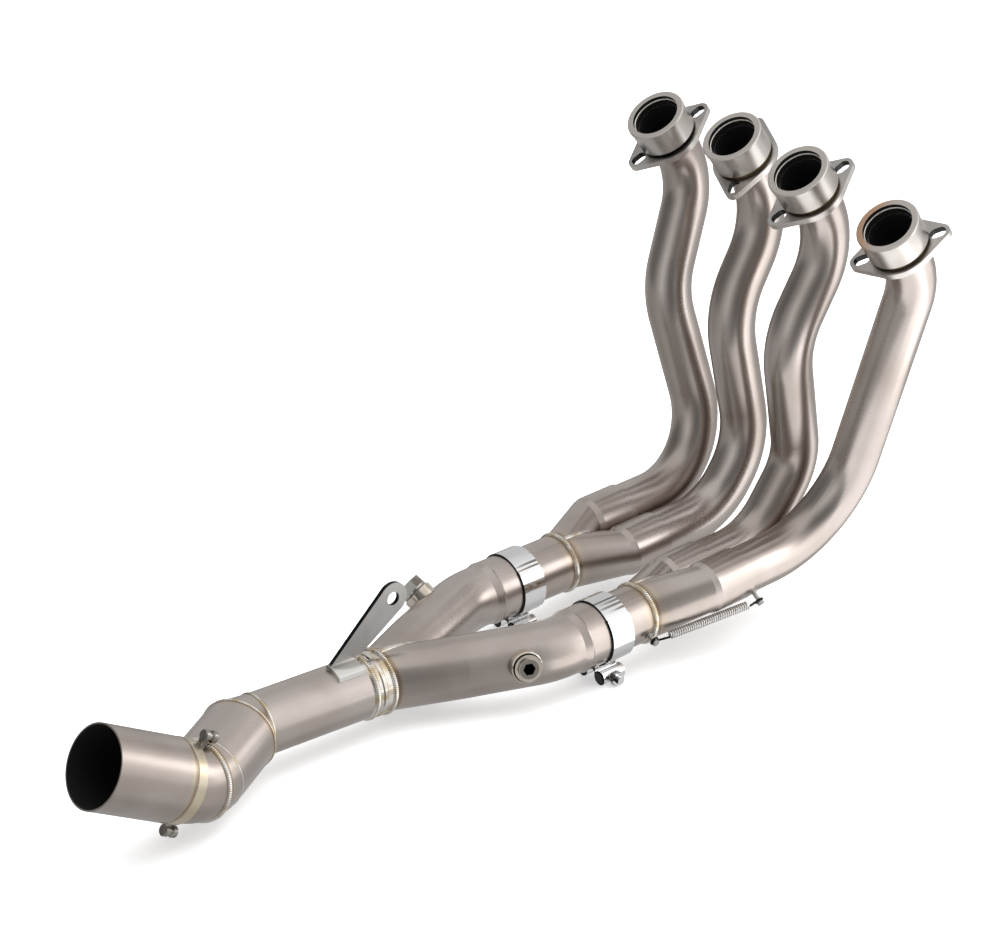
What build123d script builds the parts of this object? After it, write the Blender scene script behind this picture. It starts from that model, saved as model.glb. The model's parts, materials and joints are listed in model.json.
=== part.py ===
from build123d import *
import os
from math import cos, radians, sin, tan

os.makedirs("parts", exist_ok=True)

# Four-into-two-into-one exhaust header of an inline four, standing as photographed.
# X runs from cylinder 1 to cylinder 4, Y points to the front and Z is up. The origin is the
# middle of the bolt hole in the hanger bracket, which lies on the header's centre plane.

# Main sizes: spacing of the ports, place of port 1 and rear end of the mid-pipe
port_pitch = 88.35
port_front = 374.7
port_height = 254.8
mid_end_y = -124.0

# Primary tubes and their slip joints
primary_od = 38.1
primary_wall = 1.2
slip_gap = 0.3
slip_depth = 28.0
socket_length = 33.0
neckdown_length = 5.0
run_fall = 0.05
socket_od = primary_od + 2 * slip_gap + 2 * primary_wall
pair_pitch = socket_od + 1.2
pair_roll = 13.7
pair_x = 50.8
pair_z = -49.0
rear_mouth_y = 289.0
front_mouth_y = 280.0

# Exhaust port collars and their loose flange plates
port_lean = 36.87
collar_wall = 5.2
collar_length = 22.5
collar_lip = 3.6
tube_setback = 9.0
hub_wall = 1.4
flange_gap = 2.5
flange_thickness = 5.0
flange_clearance = 0.4
stud_reach = 30.0
stud_slot_width = 9.0
stud_slot_travel = 4.0
ear_reach = 32.0
ear_radius = 7.5
collar_od = primary_od + 2 * slip_gap + 2 * collar_wall
hub_od = primary_od + 2 * slip_gap + 2 * hub_wall
flange_bore = hub_od + 2 * flange_clearance
hub_length = flange_gap + flange_thickness + 2.0
plate_radius = collar_od / 2 + 2.4

# Collector necks, band clamps and secondary pipes
neck_od = 46.0
neck_wall = 1.4
neck_z = -59.1
neck_fall = 0.03
neck_end_y = 142.0
rear_weld_y = 207.0
front_weld_y = 197.0
bead_height = 1.3
secondary_od = 47.0
secondary_wall = 1.4
secondary_bend = 70.0
flare_length = 39.5
flare_neckdown = 6.0
secondary_turn_y = 108.0
merge_start_y = 44.0
junction_y = -14.0
junction_z = -63.5
flare_id = neck_od + 2 * slip_gap
flare_od = flare_id + 2 * secondary_wall
clamp_y = 159.0
clamp_width = 21.0
clamp_thickness = 1.0
clamp_gap = 0.3
strap_thickness = 0.7
ear_gap = 8.0
barrel_od = 9.0
barrel_drop = 35.0
bolt_od = 6.0
bolt_clearance = 0.3
clamp_id = flare_od + 2 * clamp_gap
clamp_od = clamp_id + 2 * clamp_thickness

# Sensor bungs and their plugs
bung_od = 24.0
bung_height = 6.0
bung_thread = 18.0
plug_clearance = 0.2
saddle_gap = 0.2
front_bung_y = 83.0
rear_bung_y = 80.0
front_bung_tilt = 12.0
rear_bung_tilt = 36.0

# Mid-pipe, hanger bracket, outlet elbow and stub
junction_length = 21.0
mid_od = 47.0
mid_wall = 1.4
mid_rise = 0.03
bracket_thickness = 3.5
bracket_hole = 10.5
bracket_tip_radius = 12.5
foot_width = 16.0
foot_length = 23.0
foot_setback = 46.0
foot_thickness = 2.8
elbow_od = 57.0
elbow_wall = 1.4
elbow_bend = 37.0
elbow_start = Vector(3.5, mid_end_y - 17.0, junction_z + 3.5)
elbow_corner = Vector(35.874, mid_end_y - 74.262, junction_z + 0.381)
stub_rise = 28.7
stub_turn = 1.2
sleeve_end = 16.0
ring_back = 25.0
band_length = 9.0
band_step = 1.7
stub_step = 1.5
stub_wall = 1.2
stub_length = 66.0
lug_radius = 4.4
lug_length = 11.0
lug_waist = 1.5
lug_stand = 3.2
lug_setback = 12.2
band_od = elbow_od + 2 * band_step
stub_od = elbow_od + 2 * stub_step

# Slip joint springs and their posts
spring_od = 6.8
spring_wire = 1.2
spring_tail = 10.0
post_radius = 1.8
loop_radius = 3.0
neck_post_reach = 6.2
pipe_post_reach = 8.8

up = Vector(0, 0, 1)
port_out = Vector(0, -sin(radians(port_lean)), cos(radians(port_lean)))
run_dir = Vector(0, -1, -run_fall).normalized()
neck_dir = Vector(0, -1, -neck_fall).normalized()
mid_dir = Vector(0, -1, mid_rise).normalized()
stub_dir = Vector(-sin(radians(stub_turn)), -cos(radians(stub_rise)), sin(radians(stub_rise))).normalized()
junction = Vector(0, junction_y, junction_z)


def lengthwise(origin, direction):
    """Plane whose own y runs along a piece, for a profile that is turned about that line."""
    ahead = Vector(*direction).normalized()
    side = ahead.cross(up).normalized()
    return Plane(origin=origin, x_dir=side, z_dir=side.cross(ahead))


def slip_mouth(side, outer):
    """Middle of a collector socket's open end: side is -1 for pipes 1 and 2, +1 for 3 and 4."""
    half = pair_pitch / 2 * (1 if outer else -1)
    y = rear_mouth_y if side < 0 else front_mouth_y
    return Vector(side * (pair_x + half * cos(radians(pair_roll))), y, pair_z + half * sin(radians(pair_roll)))


def neck_point(side, y):
    """Point on the axis of a collector neck."""
    return Vector(side * pair_x, y, neck_z + neck_fall * (y - clamp_y))


# Port centres, and the bend points between each port and its slip joint
mouth_2 = slip_mouth(-1, False)
mouth_3 = slip_mouth(1, False)
port_1 = Vector(-1.5 * port_pitch, port_front, port_height)
port_2 = Vector(-0.5 * port_pitch, port_front - 1.5, port_height + 5.1)
port_3 = Vector(0.5 * port_pitch, port_front - 18.4, port_height + 4.0)
port_4 = Vector(1.5 * port_pitch, port_front - 13.9, port_height - 15.7)
bends_1 = [port_1 + Vector(24.5, -7.4, -139.6)]
bends_2 = [port_2 + Vector(5.2, -2.4, -143.4), Vector(mouth_2.X - 0.7, port_2.Y + 17.6, pair_z + 50.0)]
bends_3 = [port_3 + Vector(-5.2, 1.4, -141.2), Vector(mouth_3.X + 0.7, port_3.Y + 27.8, pair_z + 58.0)]
bends_4 = []

# Per pipe: port centre, distance to the first bend, further bend points, distance of the last
# bend in front of the port, bend radii, ear angle, side of its pair and whether it is the outer
pipes = [
    (1, port_1, 72.0, bends_1, 17.9, [46, 63, 65], 72.0, -1, True),
    (2, port_2, 82.6, bends_2, -21.5, [66, 75, 69, 66], 113.0, -1, False),
    (3, port_3, 76.5, bends_3, -15.8, [61, 68, 47, 63], 71.0, 1, False),
    (4, port_4, 59.6, bends_4, 23.4, [60, 80], 45.0, 1, True),
]

for number, port, first_bend, bends, last_bend, radii, ear_angle, side, outer in pipes:
    mouth = slip_mouth(side, outer)
    slip_run = (mouth.Y - port.Y - last_bend) / run_dir.Y
    neck_y = rear_weld_y if side < 0 else front_weld_y
    weld = neck_point(side, neck_y)

    # Header pipe: bent tube from inside its collar to the bottom of its slip joint
    with BuildPart() as header_pipe:
        with BuildLine() as run:
            FilletPolyline(
                port - port_out * tube_setback,
                port - port_out * first_bend,
                *bends,
                mouth - run_dir * slip_run,
                mouth + run_dir * slip_depth,
                radius=radii,
            )
        with BuildSketch(Plane(origin=run.line @ 0, z_dir=run.line % 0)):
            Circle(primary_od / 2)
            Circle(primary_od / 2 - primary_wall, mode=Mode.SUBTRACT)
        sweep(path=run.line)
    header_pipe.part.label = f"header_pipe_{number}"
    export_step(header_pipe.part, f"parts/header_pipe_{number}.step")

    # Port collar: turned ring with a pale lip, and a thin hub behind it that carries the flange
    bore = primary_od / 2 + slip_gap
    with BuildPart() as port_collar:
        with BuildSketch(lengthwise(port, port_out)):
            with BuildLine():
                Polyline(
                    (bore + 0.2, 0),
                    (collar_od / 2 - 0.8, 0),
                    (collar_od / 2 - 0.2, -0.3),
                    (collar_od / 2, -0.9),
                    (collar_od / 2, -collar_lip),
                    (collar_od / 2 - 0.6, -collar_lip - 0.6),
                    (collar_od / 2 - 0.6, 0.8 - collar_length),
                    (collar_od / 2 - 1.4, -collar_length),
                    (hub_od / 2, -collar_length),
                    (hub_od / 2, 0.8 - collar_length - hub_length),
                    (hub_od / 2 - 0.8, -collar_length - hub_length),
                    (bore, -collar_length - hub_length),
                    (bore, -0.2),
                    close=True,
                )
            make_face()
        revolve(axis=Axis(port, port_out))
    port_collar.part.label = f"port_collar_{number}"
    export_step(port_collar.part, f"parts/port_collar_{number}.step")

    # Port flange: loose two-eared plate on the collar's hub, with radial stud slots
    seat = port - port_out * (collar_length + flange_gap)
    ear_x = Vector(1, 0, 0)
    ear_y = port_out.cross(ear_x) * -1
    ear = ear_x * cos(radians(ear_angle)) - ear_y * sin(radians(ear_angle))
    with BuildPart() as port_flange:
        with BuildSketch(Plane(origin=seat, x_dir=ear, z_dir=-port_out)):
            Circle(plate_radius)
            with Locations((ear_reach, 0), (-ear_reach, 0)):
                Circle(ear_radius)
            make_hull()
            Circle(flange_bore / 2, mode=Mode.SUBTRACT)
            with Locations((stud_reach, 0), (-stud_reach, 0)):
                SlotCenterToCenter(stud_slot_travel, stud_slot_width, mode=Mode.SUBTRACT)
        extrude(amount=flange_thickness)
    port_flange.part.label = f"port_flange_{number}"
    export_step(port_flange.part, f"parts/port_flange_{number}.step")

    # Collector branch: expanded socket, then a tapered half that runs into the round neck and
    # is cut along the seam it shares with its twin
    throat = mouth + run_dir * (socket_length + neckdown_length)
    twin = slip_mouth(side, not outer) + run_dir * (socket_length + neckdown_length)
    middle = (throat + twin) / 2
    seam_line = (weld - middle).normalized()
    across = throat - twin
    seam_out = (across - seam_line * across.dot(seam_line)).normalized()
    stations = []
    for centre, heading, radius, wall in (
        (throat, run_dir, primary_od / 2, primary_wall),
        (weld, neck_dir, neck_od / 2, neck_wall),
    ):
        stations.append((Plane(origin=centre, x_dir=(1, 0, 0), z_dir=heading), radius, wall))
    with BuildPart() as collector_branch:
        for plane, radius, wall in stations:
            with BuildSketch(plane):
                Circle(radius)
        loft()
        for plane, radius, wall in stations:
            with BuildSketch(plane):
                Circle(radius - wall)
        loft(mode=Mode.SUBTRACT)
        split(bisect_by=Plane(origin=weld, z_dir=seam_out), keep=Keep.TOP)
        with BuildSketch(lengthwise(mouth, run_dir)):
            with BuildLine():
                Polyline(
                    (bore, 0),
                    (socket_od / 2, 0),
                    (socket_od / 2, socket_length),
                    (primary_od / 2, socket_length + neckdown_length),
                    (primary_od / 2 - primary_wall, socket_length + neckdown_length),
                    (bore, socket_length),
                    close=True,
                )
            make_face()
        revolve(axis=Axis(mouth, run_dir))
    collector_branch.part.label = f"collector_branch_{number}"
    export_step(collector_branch.part, f"parts/collector_branch_{number}.step")

    # Slip joint spring and its two posts, beside the joint of each outer pipe
    if not outer:
        continue
    post_angle = radians(-22.0)
    pipe_angle = radians(-36.0)
    neck_out = Vector(side * cos(post_angle), 0, sin(post_angle))
    pipe_out = Vector(side * cos(pipe_angle), 0, sin(pipe_angle))
    neck_foot = neck_point(side, neck_y - 8)
    pipe_foot = mouth - run_dir * 4.0
    hooks = [
        ("neck", neck_foot, neck_out, neck_od / 2, neck_post_reach, neck_dir),
        ("pipe", pipe_foot, pipe_out, primary_od / 2, pipe_post_reach, run_dir),
    ]
    for place, foot, outward, tube_radius, reach, tube_dir in hooks:
        stem_end = tube_radius + reach + loop_radius
        with BuildPart() as spring_post:
            with BuildSketch(Plane(origin=foot, x_dir=tube_dir, z_dir=outward)):
                Circle(post_radius)
            extrude(amount=stem_end)
            with BuildSketch(Plane(origin=foot + outward * (stem_end - 1.2), x_dir=tube_dir, z_dir=outward)):
                Circle(post_radius + 1.0)
            extrude(amount=1.2)
            with BuildSketch(Plane(origin=foot, x_dir=tube_dir, z_dir=outward)):
                Circle(post_radius + 1.6)
            extrude(amount=tube_radius + 1.0)
            with BuildSketch(Plane(origin=foot - tube_dir * 12, z_dir=tube_dir)):
                Circle(tube_radius + saddle_gap)
            extrude(amount=24, mode=Mode.SUBTRACT)
        spring_post.part.label = f"spring_post_{place}_{number}"
        export_step(spring_post.part, f"parts/spring_post_{place}_{number}.step")

    loop_a = neck_foot + neck_out * (neck_od / 2 + neck_post_reach)
    loop_b = pipe_foot + pipe_out * (primary_od / 2 + pipe_post_reach)
    pull = (loop_b - loop_a).normalized()
    coil_length = (loop_b - loop_a).length - 2 * spring_tail
    with BuildPart() as slip_spring:
        with BuildSketch(Plane(origin=loop_a + pull * spring_tail, z_dir=pull)):
            Circle(spring_od / 2)
        extrude(amount=coil_length)
        with BuildSketch(Plane(origin=loop_a + pull * (spring_tail + spring_wire), z_dir=pull)):
            Circle(spring_od / 2 - spring_wire)
        extrude(amount=coil_length - 2 * spring_wire, mode=Mode.SUBTRACT)
        for loop, outward, inward in ((loop_a, neck_out, pull), (loop_b, pipe_out, -pull)):
            shift = inward * (loop_radius - spring_wire / 2 - post_radius - 0.3)
            with Locations(Plane(origin=loop + shift, z_dir=outward)):
                Torus(loop_radius, spring_wire / 2)
            with BuildSketch(Plane(origin=loop + shift + inward * loop_radius, z_dir=inward)):
                Circle(spring_wire / 2)
            extrude(amount=spring_tail - loop_radius)
    slip_spring.part.label = f"slip_spring_{number}"
    export_step(slip_spring.part, f"parts/slip_spring_{number}.step")

for name, side, weld_y, bung_y, bung_tilt in (
    ("12", -1, rear_weld_y, rear_bung_y, rear_bung_tilt),
    ("34", 1, front_weld_y, front_bung_y, front_bung_tilt),
):
    weld = neck_point(side, weld_y)
    neck_length = weld_y - neck_end_y

    # Collector neck: round spigot with a raised weld bead where the two branches join it
    with BuildPart() as collector_neck:
        with BuildSketch(lengthwise(weld, neck_dir)):
            with BuildLine():
                Polyline(
                    (neck_od / 2 - neck_wall, 0),
                    (neck_od / 2 + bead_height * 0.7, 0),
                    (neck_od / 2 + bead_height, 1.2),
                    (neck_od / 2 + bead_height, 2.6),
                    (neck_od / 2, 4.4),
                    (neck_od / 2, neck_length),
                    (neck_od / 2 - neck_wall, neck_length),
                    close=True,
                )
            make_face()
        revolve(axis=Axis(weld, neck_dir))
    collector_neck.part.label = f"collector_neck_{name}"
    export_step(collector_neck.part, f"parts/collector_neck_{name}.step")

    # Secondary pipe: flared socket over the neck, one bend inwards, then a half that closes
    # on its twin along the seam at the middle
    rim = neck_point(side, clamp_y + clamp_width / 2)
    flare_end = rim + neck_dir * (flare_length + flare_neckdown)
    turn = neck_point(side, secondary_turn_y)
    aim = junction + Vector(side * 2.0, 0, 0)
    lean = (aim - turn).normalized()
    merge_start = turn + lean * ((merge_start_y - secondary_turn_y) / lean.Y)
    halves = []
    for share in (0.0, 0.5, 1.0):
        centre = merge_start + (junction - merge_start) * share
        heading = (lean * (1 - share) + mid_dir * share).normalized()
        halves.append(Plane(origin=centre, x_dir=(0, 0, 1), z_dir=heading))
    with BuildPart() as secondary_pipe:
        for plane in halves:
            with BuildSketch(plane):
                Circle(secondary_od / 2)
        loft()
        for plane in halves:
            with BuildSketch(plane):
                Circle(secondary_od / 2 - secondary_wall)
        loft(mode=Mode.SUBTRACT)
        split(bisect_by=Plane.YZ, keep=Keep.TOP if side > 0 else Keep.BOTTOM)
        with BuildLine() as bend:
            FilletPolyline(flare_end, turn, merge_start, radius=secondary_bend)
        with BuildSketch(Plane(origin=bend.line @ 0, z_dir=bend.line % 0)):
            Circle(secondary_od / 2)
            Circle(secondary_od / 2 - secondary_wall, mode=Mode.SUBTRACT)
        sweep(path=bend.line)
        with BuildSketch(lengthwise(rim, neck_dir)):
            with BuildLine():
                Polyline(
                    (flare_id / 2, 0),
                    (flare_od / 2, 0),
                    (flare_od / 2, flare_length - 1.5),
                    (flare_od / 2 + 0.4, flare_length),
                    (secondary_od / 2, flare_length + flare_neckdown),
                    (secondary_od / 2 - secondary_wall, flare_length + flare_neckdown),
                    (flare_id / 2, flare_length),
                    close=True,
                )
            make_face()
        revolve(axis=Axis(rim, neck_dir))
    secondary_pipe.part.label = f"secondary_pipe_{name}"
    export_step(secondary_pipe.part, f"parts/secondary_pipe_{name}.step")

    # Band clamp: open band with an outer strap and two ear loops that hold the barrels
    band_middle = neck_point(side, clamp_y)
    band_plane = Plane(origin=band_middle, x_dir=(1, 0, 0), z_dir=neck_dir)
    loop_in = barrel_od / 2 + 0.3
    loop_out = loop_in + clamp_thickness
    barrel_x = ear_gap / 2 + loop_out
    bolt_plane = Plane(origin=band_middle - up * barrel_drop, x_dir=-neck_dir, z_dir=(1, 0, 0))
    with BuildPart() as clamp_band:
        with BuildSketch(band_plane):
            Circle(clamp_od / 2 + strap_thickness)
            with BuildLine():
                Polyline((0, 0), (60, 60), (60, -44), close=True)
            make_face(mode=Mode.INTERSECT)
            Circle(clamp_od / 2)
            with Locations((barrel_x, -barrel_drop), (-barrel_x, -barrel_drop)):
                Circle(loop_out)
            Circle(clamp_id / 2, mode=Mode.SUBTRACT)
            with Locations((0, -clamp_od / 2)):
                Rectangle(ear_gap, 16, mode=Mode.SUBTRACT)
            leg_height = barrel_drop - clamp_id / 2
            with Locations((ear_gap / 2 + clamp_thickness / 2, leg_height / 2 - barrel_drop)):
                Rectangle(clamp_thickness, leg_height)
            with Locations((-ear_gap / 2 - clamp_thickness / 2, leg_height / 2 - barrel_drop)):
                Rectangle(clamp_thickness, leg_height)
            with Locations((barrel_x, -barrel_drop), (-barrel_x, -barrel_drop)):
                Circle(loop_in, mode=Mode.SUBTRACT)
        extrude(amount=clamp_width / 2, both=True)
        with BuildSketch(bolt_plane):
            Circle(bolt_od / 2 + 0.6)
        extrude(amount=40, both=True, mode=Mode.SUBTRACT)
    clamp_band.part.label = f"clamp_band_{name}"
    export_step(clamp_band.part, f"parts/clamp_band_{name}.step")

    # Clamp barrels: cross-drilled pins in the ear loops
    for place, barrel_side in (("left", -1), ("right", 1)):
        with BuildPart() as clamp_barrel:
            with BuildSketch(band_plane):
                with Locations((barrel_side * barrel_x, -barrel_drop)):
                    Circle(barrel_od / 2)
            extrude(amount=clamp_width / 2 + 0.8, both=True)
            with BuildSketch(bolt_plane):
                Circle(bolt_od / 2 + bolt_clearance)
            extrude(amount=40, both=True, mode=Mode.SUBTRACT)
        clamp_barrel.part.label = f"clamp_barrel_{place}_{name}"
        export_step(clamp_barrel.part, f"parts/clamp_barrel_{place}_{name}.step")

    # Clamp bolt with its hex head, and the nut that pulls the ears together
    grip = barrel_x + loop_out + 0.3
    with BuildPart() as clamp_bolt:
        with BuildSketch(bolt_plane.offset(-grip)):
            Circle(bolt_od / 2)
        extrude(amount=2 * grip + 8)
        with BuildSketch(bolt_plane.offset(-grip)):
            RegularPolygon(bolt_od * 0.84, 6, major_radius=False)
        extrude(amount=-4)
    clamp_bolt.part.label = f"clamp_bolt_{name}"
    export_step(clamp_bolt.part, f"parts/clamp_bolt_{name}.step")

    with BuildPart() as clamp_nut:
        with BuildSketch(bolt_plane.offset(grip)):
            RegularPolygon(bolt_od * 0.84, 6, major_radius=False)
            Circle(bolt_od / 2 + bolt_clearance, mode=Mode.SUBTRACT)
        extrude(amount=5)
    clamp_nut.part.label = f"clamp_nut_{name}"
    export_step(clamp_nut.part, f"parts/clamp_nut_{name}.step")

    # Sensor bung on the straight of the secondary, saddle-cut to the tube
    bung_root = turn + lean * ((bung_y - secondary_turn_y) / lean.Y)
    flat_out = lean.cross(up).normalized() * (-1 if lean.cross(up).X * side < 0 else 1)
    bung_out = (flat_out * cos(radians(bung_tilt)) + up * sin(radians(bung_tilt))).normalized()
    bung_out = (bung_out - lean * bung_out.dot(lean)).normalized()
    face = secondary_od / 2 + bung_height
    with BuildPart() as sensor_bung:
        with BuildSketch(lengthwise(bung_root, bung_out)):
            with BuildLine():
                Polyline(
                    (bung_thread / 2 + plug_clearance, 10),
                    (bung_od / 2, 10),
                    (bung_od / 2, face - 1),
                    (bung_od / 2 - 1, face),
                    (bung_thread / 2 + plug_clearance, face),
                    close=True,
                )
            make_face()
        revolve(axis=Axis(bung_root, bung_out))
        with BuildSketch(Plane(origin=bung_root - lean * 20, z_dir=lean)):
            Circle(secondary_od / 2 + saddle_gap)
        extrude(amount=40, mode=Mode.SUBTRACT)
    sensor_bung.part.label = f"sensor_bung_{name}"
    export_step(sensor_bung.part, f"parts/sensor_bung_{name}.step")

    # Sensor plug: socket plug in the front bung, hex-headed plug in the rear one
    plug_plane = Plane(origin=bung_root + bung_out * face, x_dir=lean, z_dir=bung_out)
    with BuildPart() as sensor_plug:
        with BuildSketch(plug_plane):
            Circle(bung_thread / 2)
        extrude(amount=1 - bung_height)
        with BuildSketch(plug_plane):
            Circle(bung_thread / 2 + 1.4)
        extrude(amount=2)
        if side > 0:
            with BuildSketch(plug_plane.offset(2)):
                Circle(bung_thread / 2 - 1.2)
            extrude(amount=2.2)
            with BuildSketch(plug_plane.offset(4.2)):
                RegularPolygon(4.2, 6, major_radius=False)
            extrude(amount=-6, mode=Mode.SUBTRACT)
        else:
            with BuildSketch(plug_plane.offset(2)):
                RegularPolygon(9.0, 6, major_radius=False)
            extrude(amount=7.5)
    sensor_plug.part.label = f"sensor_plug_{name}"
    export_step(sensor_plug.part, f"parts/sensor_plug_{name}.step")

# Junction collar: stepped ring with weld ridges between the secondaries and the mid-pipe
with BuildPart() as junction_collar:
    with BuildSketch(lengthwise(junction, mid_dir)):
        with BuildLine():
            Polyline(
                (mid_od / 2 - mid_wall, 0),
                (mid_od / 2 + 0.6, 0),
                (mid_od / 2 + 1.5, 1.0),
                (mid_od / 2 + 1.5, 2.8),
                (mid_od / 2 + 0.6, 4.2),
                (mid_od / 2 + 0.6, 8.5),
                (mid_od / 2 + 1.3, 9.5),
                (mid_od / 2 + 1.3, 12.0),
                (mid_od / 2 + 0.5, 13.0),
                (mid_od / 2 + 0.5, 15.5),
                (mid_od / 2 + 1.2, 16.5),
                (mid_od / 2 + 1.2, 18.5),
                (mid_od / 2, junction_length),
                (mid_od / 2 - mid_wall, junction_length),
                close=True,
            )
        make_face()
    revolve(axis=Axis(junction, mid_dir))
junction_collar.part.label = "junction_collar"
export_step(junction_collar.part, "parts/junction_collar.step")

# Mid-pipe: straight tube from the junction to the step before the elbow
mid_start = junction + mid_dir * junction_length
mid_end = junction + mid_dir * ((mid_end_y - junction_y) / mid_dir.Y)
with BuildPart() as mid_pipe:
    with BuildSketch(Plane(origin=mid_start, z_dir=mid_dir)):
        Circle(mid_od / 2)
        Circle(mid_od / 2 - mid_wall, mode=Mode.SUBTRACT)
    extrude(amount=(mid_end - mid_start).length)
mid_pipe.part.label = "mid_pipe"
export_step(mid_pipe.part, "parts/mid_pipe.step")

# Hanger bracket: leaning strap with one bolt hole, on a curved foot welded to the mid-pipe
bracket_plane = Plane(origin=(-bracket_thickness / 2, 0, 0), x_dir=(0, 1, 0), z_dir=(1, 0, 0))
foot_back = junction + mid_dir * foot_setback
foot_plane = Plane(origin=foot_back, x_dir=(1, 0, 0), z_dir=mid_dir)
foot_top = foot_back.Z + mid_od / 2
with BuildPart() as hanger_bracket:
    with BuildSketch(bracket_plane):
        Circle(bracket_tip_radius)
        with Locations((foot_back.Y + 1.5, foot_top), (foot_back.Y + foot_length - 1.5, foot_top)):
            Circle(1.5)
        make_hull()
        Circle(bracket_hole / 2, mode=Mode.SUBTRACT)
    extrude(amount=bracket_thickness)
    with BuildSketch(foot_plane):
        Circle(mid_od / 2 + saddle_gap + foot_thickness)
        with Locations((foot_width / 2 - bracket_thickness / 2, mid_od / 2)):
            Rectangle(foot_width, 24, mode=Mode.INTERSECT)
    extrude(amount=-foot_length)
    with BuildSketch(foot_plane.offset(20)):
        Circle(mid_od / 2 + saddle_gap)
    extrude(amount=-foot_length - 40, mode=Mode.SUBTRACT)
hanger_bracket.part.label = "hanger_bracket"
export_step(hanger_bracket.part, "parts/hanger_bracket.step")

# Step cone: short mitred cone from the mid-pipe up to the wider elbow
elbow_dir = (elbow_corner - elbow_start).normalized()
with BuildPart() as step_cone:
    with BuildSketch(Plane(origin=mid_end, x_dir=(0, 0, 1), z_dir=mid_dir)):
        Circle(mid_od / 2)
    with BuildSketch(Plane(origin=elbow_start, x_dir=(0, 0, 1), z_dir=elbow_dir)):
        Circle(elbow_od / 2)
    loft()
    with BuildSketch(Plane(origin=mid_end, x_dir=(0, 0, 1), z_dir=mid_dir)):
        Circle(mid_od / 2 - mid_wall)
    with BuildSketch(Plane(origin=elbow_start, x_dir=(0, 0, 1), z_dir=elbow_dir)):
        Circle(elbow_od / 2 - elbow_wall)
    loft(mode=Mode.SUBTRACT)
step_cone.part.label = "step_cone"
export_step(step_cone.part, "parts/step_cone.step")

# Outlet elbow and sleeve: one bent tube parted by a weld ring near the end of the bend
sleeve_tip = elbow_corner + stub_dir * sleeve_end
with BuildLine() as elbow_run:
    FilletPolyline(elbow_start, elbow_corner, sleeve_tip, radius=elbow_bend)
bend_angle = radians(Vector(*elbow_dir).get_angle(stub_dir))
straight_end = sleeve_end - elbow_bend * tan(bend_angle / 2)
elbow_wire = elbow_run.wire()
ring_share = 1 - (straight_end + elbow_bend * radians(ring_back)) / elbow_wire.length
ring_point = elbow_wire @ ring_share
ring_dir = elbow_wire % ring_share
ring_plane = Plane(origin=ring_point, z_dir=ring_dir)

with BuildPart() as outlet_elbow:
    with BuildSketch(Plane(origin=elbow_start, z_dir=elbow_dir)):
        Circle(elbow_od / 2)
        Circle(elbow_od / 2 - elbow_wall, mode=Mode.SUBTRACT)
    sweep(path=elbow_wire)
    split(bisect_by=ring_plane, keep=Keep.BOTTOM)
outlet_elbow.part.label = "outlet_elbow"
export_step(outlet_elbow.part, "parts/outlet_elbow.step")

with BuildPart() as outlet_sleeve:
    with BuildSketch(Plane(origin=elbow_start, z_dir=elbow_dir)):
        Circle(elbow_od / 2)
        Circle(elbow_od / 2 - elbow_wall, mode=Mode.SUBTRACT)
    sweep(path=elbow_wire)
    split(bisect_by=ring_plane, keep=Keep.TOP)
    with BuildSketch(ring_plane):
        Circle(elbow_od / 2 + 1.2)
        Circle(elbow_od / 2 - 0.8, mode=Mode.SUBTRACT)
    extrude(amount=3)
outlet_sleeve.part.label = "outlet_sleeve"
export_step(outlet_sleeve.part, "parts/outlet_sleeve.step")

# Outlet band: flat ring between the sleeve and the stub
with BuildPart() as outlet_band:
    with BuildSketch(lengthwise(sleeve_tip, stub_dir)):
        with BuildLine():
            Polyline(
                (elbow_od / 2 - elbow_wall, 0),
                (band_od / 2 - 1.2, 0),
                (band_od / 2, 0.8),
                (band_od / 2, band_length - 0.8),
                (band_od / 2 - 1.0, band_length),
                (elbow_od / 2 - elbow_wall, band_length),
                close=True,
            )
        make_face()
    revolve(axis=Axis(sleeve_tip, stub_dir))
outlet_band.part.label = "outlet_band"
export_step(outlet_band.part, "parts/outlet_band.step")

# Outlet stub: thin-walled open tube that the silencer slides over
stub_start = sleeve_tip + stub_dir * band_length
with BuildPart() as outlet_stub:
    with BuildSketch(Plane(origin=stub_start, z_dir=stub_dir)):
        Circle(stub_od / 2)
        Circle(stub_od / 2 - stub_wall, mode=Mode.SUBTRACT)
    extrude(amount=stub_length)
outlet_stub.part.label = "outlet_stub"
export_step(outlet_stub.part, "parts/outlet_stub.step")

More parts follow.
